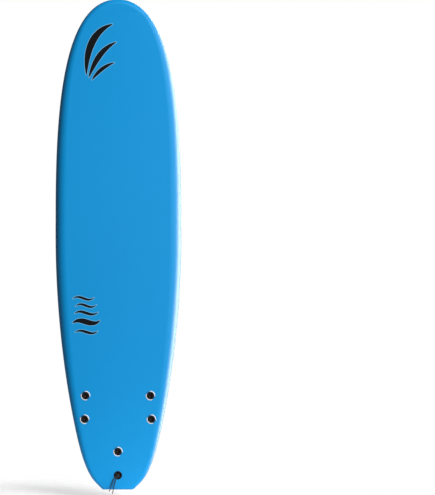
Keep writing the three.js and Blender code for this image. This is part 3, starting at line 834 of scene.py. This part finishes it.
def strand(name, points, node):
    """One braided strand: crossing yarns stand a little proud, and the end is melted and rounded."""
    route = smooth_route(points)
    sides = 28
    yarns = 7
    lay_length = 9 * MM
    tip_length = 9 * MM
    tip_fade = 2 * MM
    yarn_relief = 0.045
    blunt_end = 0.02
    total = sum((b - a).length for a, b in zip(route, route[1:]))
    normal = (route[1] - route[0]).orthogonal().normalized()
    rows, tips = [], []
    run = 0.0
    for i, p in enumerate(route):
        along = direction(route, i)
        normal = (normal - along * normal.dot(along)).normalized()
        across = along.cross(normal)
        left = total - run
        bead = math.sqrt(max(blunt_end, 1 - max(0, 1 - left / STRING_RADIUS) ** 2))
        row = []
        for k in range(sides):
            a = 2 * math.pi * k / sides
            twist = 2 * math.pi * run / lay_length
            relief = max(math.sin(yarns * a + twist * 3), math.sin(yarns * a - twist * 3))
            braid = 0.0 if left < tip_length else 1.0
            radius = STRING_RADIUS * bead * (1 - yarn_relief + yarn_relief * relief * braid)
            row.append(p + (normal * math.cos(a) + across * math.sin(a)) * radius)
            tips.append(1.0 - min(1, max(0, (left - tip_length) / tip_fade)))
        rows.append(row)
        if i + 1 < len(route):
            run += (route[i + 1] - p).length
    bm = rows_to_bmesh(rows, closed_rows=True, caps=True)
    obj = object_from(name, bm, 60)
    tag_points(obj, "tip", tips)
    finish_piece(obj, braided_cord, node, "leash_string")


strand("leash_string_right_braid", strand_points(1, OVER_TAIL), "leash_string_right")
strand("leash_string_left_braid", strand_points(-1, UNDER_TAIL), "leash_string_left")


# ---- Deck skin and bottom slick ----

def half_section(z, half, slick_half, closed):
    """Right half of the skin's outer section, from the slick's edge round the rail to the centre."""
    bottom, apex, deck = levels(z)
    bottom += BOTTOM_EDGE * (1 - rounded(z - TAIL_Z, BOTTOM_EDGE))
    apex = max(apex, bottom)
    roll = roll_width(z, half)
    edge = min(BOTTOM_EDGE, WIDEST_EDGE * half)
    points = [(0.0 if closed else slick_half, bottom), (min(slick_half, half - edge), bottom)]
    low_steps = 8
    for i in range(low_steps + 1):
        turn = i / low_steps * math.pi / 2
        rise = 1 - math.cos(turn) ** RAIL_POWERS["tuck"]
        points.append((half - edge + edge * math.sin(turn), bottom + (apex - bottom) * rise))
    crown = crown_height(apex, deck)
    shoulder = deck - crown
    high_steps = 26
    for i in range(1, high_steps + 1):
        turn = i / high_steps * math.pi / 2
        x = half - roll + roll * max(0.0, math.cos(turn)) ** RAIL_POWERS["side"]
        points.append((x, apex + (shoulder - apex) * math.sin(turn) ** RAIL_POWERS["shoulder"]))
    deck_steps = 14
    for i in range(1, deck_steps + 1):
        across = 1 - i / deck_steps
        points.append(((half - roll) * across, shoulder + crown * (1 - across**2)))
    return points


def edge_distance(at, points):
    """How far a point is from a line of points, up to NOSE_ROLL."""
    nearest = NOSE_ROLL
    for before, after in zip(points, points[1:]):
        along = after - before
        reached = min(1, max(0, (at - before).dot(along) / along.length_squared))
        nearest = min(nearest, (at - before - along * reached).length)
    return nearest


def nose_roll(x, z, height, nose):
    """Rolls the deck down round the nose by its distance from the outline."""
    _, apex, _ = levels(z)
    if height <= apex:
        return height
    reach = edge_distance(Vector((z, abs(x))), nose)
    rolled = apex + (1 - RAIL_APEX) * thickness(z) * rounded(reach, NOSE_ROLL)
    start, full = NOSE_BLEND
    blend = min(1, max(0, (z - NOSE_Z + start) / (start - full)))
    return height + (rolled - height) * blend * blend * (3 - 2 * blend)


def skin_row(z, half, slick_half, closed):
    right = half_section(z, half, slick_half, closed)
    if z > NOSE_Z - NOSE_BLEND[0]:
        nose = [Vector((NOSE_Z, 0))] + [p for p in outline() if p.x > z - 2 * NOSE_ROLL]
        right = [(x, nose_roll(x, z, h, nose)) for x, h in right]
    both = right + [(-x, h) for x, h in reversed(right[:-1])]
    return [(x, -(rocker(z) + h), z) for x, h in both]


def make_deck_skin():
    pocket = inset_outline(SLICK_INSET - GAP)
    pocket_width = width_along(pocket)
    pocket_end = TAIL_Z + SLICK_INSET - GAP
    end_half = pocket[-1].y
    rows = []
    for p in outline():
        if p.x >= pocket_end:
            slick_half = pocket_width(p.x)
            rows.append(skin_row(p.x, p.y, slick_half, slick_half <= 0))
    rows.append(skin_row(pocket_end, half_width(pocket_end), end_half, False))
    tail_rows = 7
    for i in range(tail_rows):
        z = TAIL_Z + (pocket_end - TAIL_Z) * math.cos(i / (tail_rows - 1) * math.pi / 2)
        rows.append(skin_row(z, half_width(z), end_half, True))
    bm = rows_to_bmesh(rows)
    clean(bm)
    for ring in (rows[0], rows[-1]):
        z = ring[0][2]
        verts = [v for v in bm.verts if abs(v.co.z - z) < 0.001 * MM]
        edges = [e for e in bm.edges if e.is_boundary and all(v in verts for v in e.verts)]
        bmesh.ops.contextual_create(bm, geom=edges)
    obj = object_from("deck_skin_foam", bm, 50)
    solid = obj.modifiers.new("shell", "SOLIDIFY")
    solid.thickness = SKIN
    solid.offset = -1
    apply_modifiers(obj)
    reach = 15 * MM
    holes = []
    for name, unit in UNITS.items():
        for where, spot in zip(PLACES, bolt_spots(unit)):
            radius = cup_at(name, where)["sleeve"] * MM + GAP
            holes.append(pin("hole", radius, spot.y - reach, spot.y + reach, spot.x, spot.z, CUP_SIDES))
    cut(obj, holes)
    smooth_deck(obj.data)
    return obj


def smooth_deck(mesh):
    """Gives the deck inside the rails the crown's own normals, so that no facets show round the bores."""
    step = 1 * MM
    end_margin, rail_margin, off_surface = 60 * MM, 6 * MM, 1.5 * MM
    outwards = -0.7
    normals = [Vector((0, 0, 0))] * len(mesh.loops)
    for polygon in mesh.polygons:
        x, y, z = polygon.center
        flat = half_width(z) - roll_width(z, half_width(z)) - rail_margin
        if abs(z) > LENGTH / 2 - end_margin or abs(x) > flat:
            continue
        if polygon.normal.y > outwards or abs(y - deck_y(x, z)) > off_surface:
            continue
        for loop in polygon.loop_indices:
            at = mesh.vertices[mesh.loops[loop].vertex_index].co
            across = (deck_y(at.x + step, at.z) - deck_y(at.x - step, at.z)) / (2 * step)
            along = (deck_y(at.x, at.z + step) - deck_y(at.x, at.z - step)) / (2 * step)
            normals[loop] = Vector((across, -1, along)).normalized()
    mesh.normals_split_custom_set(normals)


def make_slick():
    points = inset_outline(SLICK_INSET)
    columns = 48
    rows = []
    for p in points:
        rows.append([(p.y * (2 * i / columns - 1), -rocker(p.x), p.x) for i in range(columns + 1)])
    bm = rows_to_bmesh(rows)
    obj = object_from("bottom_slick_sheet", bm, 40)
    if obj.data.polygons[len(obj.data.polygons) // 2].normal.y < 0:
        obj.data.flip_normals()
    solid = obj.modifiers.new("sheet", "SOLIDIFY")
    solid.thickness = SLICK
    solid.offset = -1
    apply_modifiers(obj)
    edge = np.array([(p.y, p.x) for p in points])
    tail = np.linspace(0, edge[-1][0], 40)
    edge = np.vstack([edge, np.stack([tail, np.full_like(tail, edge[-1][1])], axis=1)])
    spots = np.array([(abs(v.co.x), v.co.z) for v in obj.data.vertices])
    nearest = np.array([np.hypot(*(edge - s).T).min() for s in spots])
    tag_points(obj, "from_edge", nearest.astype(np.float32))
    return obj


deck_skin = make_deck_skin()
finish_piece(deck_skin, deck_foam, "deck_skin")
slick = make_slick()
finish_piece(slick, printed_slick, "bottom_slick")


# ---- Fins, fin boxes and their screws ----

def plate_outline(length, width, corner):
    """A plate with a round front and small rear corners, as (x, z)."""
    half, front, rear = width / 2, length / 2 - width / 2, -length / 2
    shape = [(half * math.cos(a), front + half * math.sin(a)) for a in np.linspace(0, math.pi, 33)]
    for side in (-1, 1):
        arc = []
        for a in np.linspace(0, math.pi / 2, 7):
            x = half - corner + corner * math.cos(a)
            arc.append((side * x, rear + corner - corner * math.sin(a)))
        shape += arc if side < 0 else arc[::-1]
    return shape


def tab_block(name, z, grow, tilt):
    x = TAB["width"] / 2 + grow
    half = TAB["length"] / 2 + grow
    top = PLATE["thickness"] + TAB["root"] + grow
    return moved(block(name, -x, x, -TAB["depth"] - grow, top, z - half, z + half), tilt)


def make_fin_box(name, unit):
    tilt = tilt_matrix(unit)
    shape = plate_outline(PLATE["length"], PLATE["width"], PLATE["corner"])
    plate = prism("plate", shape, PLATE_SEAT, PLATE_SEAT + PLATE["thickness"])
    bevel(plate, PLATE["bevel"], 4)
    moved(plate, tilt)
    half = BOX["width"] / 2
    body = moved(block("body", -half, half, -BOX["depth"], BOX["top"], BOX["rear"], BOX["front"]), tilt)
    towers = []
    to_unit = unit_matrix(unit).inverted()
    bores = []
    for where, spot in zip(PLACES, bolt_spots(unit)):
        deck = to_unit @ spot
        top = deck.y + cup_at(name, where)["depth"] * MM + GAP
        floor = -rocker(spot.z) + rocker(unit["z"])
        towers.append(pin("tower", TOWER["radius"], top, floor - BOX["depth"] / 2, deck.x, deck.z))
        bore_start, bore_end = top - TOWER["bore_start"], floor - TOWER["bore_end"]
        bores.append(pin("bore", TOWER["bore"], bore_start, bore_end, deck.x, deck.z))
    join_on(plate, [body, *towers])
    slots = [tab_block("slot", z, GAP, tilt) for z in TAB["centres"]]
    for z, side in zip(TAB["centres"], unit["grubs"]):
        bore_start = -GRUB["length"] + GRUB["middle"]
        bore = pin("bore", GRUB["radius"] + GAP, bore_start, GRUB["bore_end"], side * GRUB["x"], z)
        slots.append(moved(bore, tilt))
    cut(plate, slots + bores)
    plate.name = f"fin_box_{name}_moulding"
    return moved(plate, unit_matrix(unit))


BLADE_CURVES = [
    [(0, 0), (20, 58), (84, 114), (125, 113.5)],
    [(125, 113.5), (139, 113), (152, 105), (157, 96)],
    [(157, 96), (128, 76), (104, 50), (102, 24)],
    [(102, 24), (101.5, 14), (104, 6), (108, 0)],
]


def blade_edges():
    """Leading and trailing edges as (back, out), both from the root to the tip."""
    lead, *rest = BLADE_CURVES
    front = [bezier(lead, i / 80) * MM for i in range(81)]
    rear = [bezier(curve, i / 40) * MM for curve in rest for i in range(41)]
    return front, rear[::-1]


def back_at(points, out):
    for a, b in zip(points, points[1:]):
        if b.y >= out:
            return a.x + (b.x - a.x) * (out - a.y) / max(1e-9, b.y - a.y)
    return points[-1].x


def make_blade(name, unit):
    front, rear = blade_edges()
    layers, chord_steps = 48, 22
    rows = []
    for i in range(layers + 1):
        out = BLADE_DEPTH * BLADE_LAST_LAYER * math.sin(i / layers * math.pi / 2)
        lead, trail = back_at(front, out), back_at(rear, out)
        taper = 1 - (out / BLADE_DEPTH) ** BLADE_TAPER
        thick = BLADE_TIP_THICKNESS + (BLADE_THICKNESS - BLADE_TIP_THICKNESS) * taper
        thick *= 1 + ROOT_FLARE["share"] * math.exp(-out / ROOT_FLARE["reach"])
        side = []
        for k in range(chord_steps + 1):
            s = (1 - math.cos(k / chord_steps * math.pi)) / 2
            swelling = max(0.0, math.sin(math.pi * s ** FOIL["forward"])) ** FOIL["fullness"]
            foil = FOIL["thinnest"] + (1 - FOIL["thinnest"]) * swelling
            from_edge = max(0.0, min(s, 1 - s))
            round_edge = min(1.0, math.sqrt(from_edge * FOIL["edge_rise"] + FOIL["edge_start"]))
            side.append((lead + (trail - lead) * s, thick / 2 * min(1, foil) * round_edge))
        loop = side + [(s, -x) for s, x in reversed(side[1:-1])]
        rows.append([(x, out, -s) for s, x in loop])
    blade = object_from("blade", rows_to_bmesh(rows, closed_rows=True, caps=True), 50)
    lift = PLATE_SEAT + PLATE["thickness"] + GAP
    cant = Matrix.Rotation(math.radians(unit["cant"]), 4, "Z")
    moved(blade, Matrix.Translation((0, lift, BLADE_FRONT_Z)) @ cant)
    below = dict(x0=-20 * MM, x1=20 * MM, y0=-5 * MM, y1=lift, z0=-90 * MM, z1=60 * MM)
    cut(blade, [block("below", **below)])
    join_on(blade, [tab_block("tab", z, 0, Matrix.Identity(4)) for z in TAB["centres"]])
    blade.name = f"fin_{name}_blade"
    return moved(blade, unit_matrix(unit) @ tilt_matrix(unit))


def make_grub(name, where, unit, z, side):
    radius, half = GRUB["radius"], GRUB["length"] / 2
    screw = pin("screw", radius, -half, half, sides=32)
    bevel(screw, GRUB["bevel"], 2)
    cut(screw, [prism("socket", circle(GRUB_SOCKET["radius"], 6), half - GRUB_SOCKET["depth"], half + PAST)])
    screw.name = f"grub_screw_{name}_{where}_turned"
    place = Matrix.Translation((side * GRUB["x"], GRUB["middle"] + GAP, z))
    return moved(screw, unit_matrix(unit) @ tilt_matrix(unit) @ place)


for name, unit in UNITS.items():
    finish_piece(make_fin_box(name, unit), box_plastic, f"fin_box_{name}")
    finish_piece(make_blade(name, unit), fin_plastic, f"fin_{name}")
    for where, z, side in zip(PLACES, TAB["centres"], unit["grubs"]):
        finish_piece(make_grub(name, where, unit, z, side), steel, f"grub_screw_{name}_{where}")


# ---- Deck plugs, rings, bolts, leash cup ----

def cup_profile(cup):
    """(radius, height) of a flanged cup, in millimetres."""
    hole = SHANK / MM + CUP_EDGES["bore_gap"]
    seat = SEAT / MM
    sleeve, flange, recess, proud = cup["sleeve"], cup["flange"], cup["recess"], cup["proud"]
    return [
        (hole, -cup["depth"]), (sleeve, -cup["depth"]), (sleeve, seat), (flange, seat),
        (flange, proud - CUP_EDGES["rim"]), (flange - CUP_EDGES["chamfer"], proud),
        (recess + CUP_EDGES["lip"], proud), (recess, proud - CUP_EDGES["lip_depth"]),
        (recess, -cup["recess_depth"]), (hole, -cup["recess_depth"]),
    ]


def make_moulding(name, profile, rounding):
    """A turned plastic piece from a profile in millimetres."""
    profile = soften([(r * MM, h * MM) for r, h in profile], rounding * MM)
    return object_from(name, turned_bmesh(profile, CUP_SIDES), 40)


def make_cup(name, cup):
    return make_moulding(name, cup_profile(cup), CUP_EDGES["rounding"])


def make_ring(name):
    inner, outer, height, seat = RING["inner"], RING["outer"], RING["height"], SEAT / MM
    profile = [(inner, seat), (outer, seat), (outer - RING["lean"], height - RING["edge"]),
               (outer - RING["chamfer"], height), (inner, height)]
    ring = make_moulding(name, profile, RING["rounding"])
    # The pale arcs are painted highlights, stored at each vertex for the ring's material to read.
    tag_points(ring, "painted_glint", [painted_glint_at(math.atan2(v.co.z, v.co.x)) for v in ring.data.vertices])
    return ring


# The middle and the reach of each painted highlight arc, and how far its ends fade, in degrees.
PAINTED_GLINTS = ((45, 62), (225, 78))
PAINTED_GLINT_FADE = 22


def painted_glint_at(angle):
    """Painted highlights: the ring is pale on two opposite arcs, up to the right and down to the left."""
    best = 0.0
    for middle, reach in PAINTED_GLINTS:
        off = abs((math.degrees(angle) - middle + 180) % 360 - 180)
        best = max(best, min(1.0, max(0.0, (reach - off) / PAINTED_GLINT_FADE)))
    return best


def make_bolt(name, length):
    """A socket-head bolt; its head's underside is at height 0 and its shank runs into the board."""
    profile = [
        (0, HEAD_HEIGHT), (HEAD - HEAD_BEVEL, HEAD_HEIGHT), (HEAD, HEAD_HEIGHT - HEAD_BEVEL), (HEAD, 0),
        (SHANK, 0), (SHANK, -length + TIP_BEVEL), (SHANK - TIP_BEVEL, -length), (0, -length),
    ]
    bolt = object_from(name, turned_bmesh(profile, 40), 30)
    socket = prism("socket", circle(HEX, 6), -HEAD_HEIGHT - PAST, -HEAD_HEIGHT + HEX)
    return cut(bolt, [socket])


def tip_depth(spot):
    """How far below the deck point a bolt's tip is."""
    return (-rocker(spot.z) - TIP_COVER) - spot.y


for name, unit in UNITS.items():
    for where, spot in zip(PLACES, bolt_spots(unit)):
        here = Matrix.Translation(spot)
        label = f"{name}_{where}"
        cup = cup_at(name, where)
        seat_depth = cup["recess_depth"] * MM - GAP
        bolt = make_bolt(f"fin_bolt_{label}_turned", tip_depth(spot) - seat_depth)
        moved(bolt, here @ Matrix.Translation((0, seat_depth, 0)))
        finish_piece(bolt, bronzed_steel if cup is LEASH_CUP else blackened_steel, f"fin_bolt_{label}")
        if cup is PLUG:
            plug = moved(make_cup(f"deck_plug_{label}_moulding", PLUG), here)
            finish_piece(plug, plug_plastic, f"deck_plug_{label}")
            ring = moved(make_ring(f"plug_ring_{label}_moulding"), here)
            finish_piece(ring, ring_plastic, f"plug_ring_{label}")


def bar_rod(name, radius, half_length, rounding):
    rod = pin(name, radius, -half_length, half_length, sides=40)
    if rounding:
        bevel(rod, rounding, 3)
    lay = Matrix.Rotation(math.radians(45), 4, "Y") @ Matrix.Rotation(math.radians(90), 4, "Z")
    return moved(rod, Matrix.Translation((0, -BAR["height"], 0)) @ lay)


leash_place = Matrix.Translation(leash_origin)
leash_cup = make_cup("leash_cup_moulding", LEASH_CUP)
cut(leash_cup, [bar_rod("hole", BAR["radius"] + GAP, BAR["half_length"] + GAP, 0)])
finish_piece(moved(leash_cup, leash_place), plug_plastic, "leash_cup")
leash_bar = bar_rod("leash_bar_rod", BAR["radius"], BAR["half_length"], BAR["bevel"])
finish_piece(moved(leash_bar, leash_place), plug_plastic, "leash_bar")


# ---- Printed graphics on the deck ----
# Two plain motifs made of tapered strokes: a fan of three blades near the nose, waves further down.
# Each stroke is a Bezier centre line in millimetres from its motif's centre, and its greatest width.

BLADE_FAN = dict(x=-74 * MM, z=NOSE_Z - 230 * MM, strokes=[
    ([(-62, -96), (-66, 10), (-30, 96), (52, 121)], 31),
    ([(-52, -108), (-28, -40), (6, 18), (68, 44)], 24),
    ([(-38, -119), (-14, -84), (16, -58), (60, -44)], 17),
])
WAVES = dict(x=-138 * MM, z=TAIL_Z + 756 * MM, strokes=[
    ([(-60, 76), (-26, 104), (2, 52), (34, 82)], 11),
    ([(-48, 44), (-14, 72), (12, 20), (44, 50)], 11),
    ([(-52, 12), (-16, 40), (14, -12), (52, 18)], 13),
    ([(-60, -30), (-20, 4), (20, -54), (60, -18)], 24),
    ([(-50, -70), (-14, -46), (18, -94), (50, -64)], 12),
])


PALE_EDGE = 1.9
PRINT_LAYER = 0.12 * MM
PRINT_SINK = 0.05 * MM


def stroke_rows(motif, stroke, widen):
    """Rows of (x, z) across a tapered stroke, from one end to the other."""
    curve, width = stroke
    steps, bluntness, fullness = 48, 0.015, 0.75
    points = [bezier(curve, i / steps) for i in range(steps + 1)]
    rows = []
    for i, p in enumerate(points):
        along = direction(points, i)
        across = Vector((-along.y, along.x))
        turn = math.pi * (bluntness + (1 - 2 * bluntness) * i / steps)
        half = width / 2 * math.sin(turn) ** fullness + widen
        middle = p + along * widen * {0: -1, steps: 1}.get(i, 0)
        row = []
        for k in (-1, -0.5, 0, 0.5, 1):
            x, z = middle.x + across.x * half * k, middle.y + across.y * half * k
            row.append((motif["x"] + x * MM, motif["z"] + z * MM))
        rows.append(row)
    return rows


def make_graphic(name, motif, widen, height, look):
    """Strokes as one thin layer of print that follows the deck."""
    bm = bmesh.new()
    for stroke in motif["strokes"]:
        rows = stroke_rows(motif, stroke, widen)
        grids = []
        for lift in (height, -PRINT_SINK):
            grids.append([[bm.verts.new((x, deck_y(x, z) - lift, z)) for x, z in row] for row in rows])
        top, under = grids
        last_row, last = len(rows) - 1, len(rows[0]) - 1
        for r in range(last_row):
            for i in range(last):
                bm.faces.new((top[r][i], top[r][i + 1], top[r + 1][i + 1], top[r + 1][i]))
                bm.faces.new((under[r][i + 1], under[r][i], under[r + 1][i], under[r + 1][i + 1]))
            bm.faces.new((top[r][0], top[r + 1][0], under[r + 1][0], under[r][0]))
            bm.faces.new((top[r + 1][last], top[r][last], under[r][last], under[r + 1][last]))
        for r in (0, last_row):
            for i in range(last):
                bm.faces.new((top[r][i + 1], top[r][i], under[r][i], under[r][i + 1]))
    obj = object_from(name, bm, 30)
    dress(obj, look)
    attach(obj, "board")


for name, motif in (("nose_fan", BLADE_FAN), ("deck_waves", WAVES)):
    make_graphic(f"{name}_outline", motif, PALE_EDGE, PRINT_LAYER, print_pale)
    make_graphic(f"{name}_print", motif, 0, 2 * PRINT_LAYER, print_black)


# ---- Inner pieces keep their CAD shapes ----

for node in ("core_left", "core_center", "core_right"):
    dress(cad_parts[node], bead_foam)
for node in ("stringer_left", "stringer_right"):
    dress(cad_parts[node], stringer_wood)


# ---- Floor, light and background ----

def make_floor():
    half_size, gap_below = 3.2, 0.02
    drop = cad_low.z - gap_below
    rows = [[(x, y, drop) for x in (-half_size, half_size)] for y in (-half_size, half_size)]
    floor = object_from("floor", rows_to_bmesh(rows))
    look = Look("floor_paper", (0.9, 0.9, 0.9), 0.9)
    x, y, _ = look.axes()
    far = (x * x + y * y).op("SQRT")
    fade_start, fade_end = 0.3, 1.2
    visible = far.smooth(fade_start, fade_end).flipped()
    look.set(Alpha=visible)
    look.bump(look.noise(300), 0.05, 0.2 * MM)
    dress(floor, look.material)


def area_light(name, place, width, height, power):
    """A rectangle of light that faces the middle of the board."""
    data = bpy.data.lights.new(name, "AREA")
    data.shape = "RECTANGLE"
    data.size = width
    data.size_y = height
    data.energy = power
    light = link(bpy.data.objects.new(name, data))
    light.location = place
    light.rotation_euler = (-Vector(place)).to_track_quat("-Z", "Y").to_euler()
    return light


def make_world():
    """White to the camera, a dim room to everything else."""
    world = bpy.data.worlds.new("studio")
    bpy.context.scene.world = world
    world.use_nodes = True
    tree = world.node_tree
    tree.nodes.clear()
    path = new_node(tree, "LightPath")
    room = new_node(tree, "Background", Color=(0.96, 0.98, 1, 1), Strength=0.12)
    paper = new_node(tree, "Background", Color=(1, 1, 1, 1), Strength=1.0)
    mix = new_node(tree, "MixShader")
    for socket, node, output in zip(mix.inputs, (path, room, paper), ("Is Camera Ray", 0, 0)):
        tree.links.new(node.outputs[output], socket)
    new_node(tree, "OutputWorld", Surface=mix.outputs[0])


make_floor()
make_world()
area_light("front_key", (5.2, -7.2, 3.4), 4.2, 5.0, 975)
gloss = area_light("right_gloss", (2.75, 1.1, -0.3), 0.8, 3.6, 620)
gloss.visible_diffuse = False
area_light("back_fill", (2.2, 3.6, 2.0), 2.4, 3.0, 260)
bpy.context.scene.view_settings.view_transform = "Standard"
